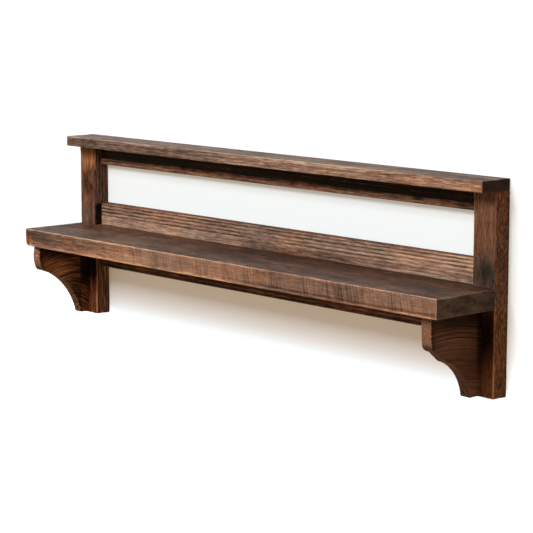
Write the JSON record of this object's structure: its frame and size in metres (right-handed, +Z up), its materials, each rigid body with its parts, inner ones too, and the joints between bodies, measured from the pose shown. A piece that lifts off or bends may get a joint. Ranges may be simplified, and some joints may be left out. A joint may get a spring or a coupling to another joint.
{
  "type": "wall shelf",
  "caption": "Rustic stained-wood wall shelf: a deep board on scrolled corbels, with back rails and a narrow top ledge carried by posts that hang on keyhole plates.",
  "frame": {"origin": "in the wall plane, midway along the shelf, level with the top of the shelf board", "axes": "+X along the shelf to its right end, +Y into the wall, so the front faces -Y, +Z up"},
  "size_m": [0.9, 0.138, 0.292],
  "materials": {
    "shelf_wood": "dark walnut stain over wire-brushed softwood, satin, worn arrises",
    "ledge_wood": "dark walnut stain over wire-brushed softwood, satin, worn arrises",
    "post_wood": "dark walnut stain over wire-brushed softwood with knots, satin",
    "rail_wood": "dark walnut stain over deeply brushed softwood, satin",
    "corbel_wood": "dark walnut stain over band-sawn softwood, satin",
    "dowel_wood": "bare beech",
    "screw_steel": "yellow zinc plated",
    "hanger_steel": "bright zinc plated"
  },
  "bodies": {
    "root": {"shelf_board": "shelf_wood", "top_ledge": "ledge_wood", "left_post": "post_wood", "right_post": "post_wood", "upper_rail": "rail_wood", "lower_rail": "rail_wood", "apron_rail": "rail_wood", "left_corbel": "corbel_wood", "right_corbel": "corbel_wood", "left_hanger_plate": "hanger_steel", "right_hanger_plate": "hanger_steel", "upper_rail_dowels": "dowel_wood", "lower_rail_dowels": "dowel_wood", "apron_rail_dowels": "dowel_wood", "ledge_dowels": "dowel_wood", "apron_shelf_dowels": "dowel_wood", "corbel_shelf_dowels": "dowel_wood", "shelf_screws": "screw_steel", "corbel_screws": "screw_steel", "hanger_screws": "screw_steel"}
  },
  "joints": []
}
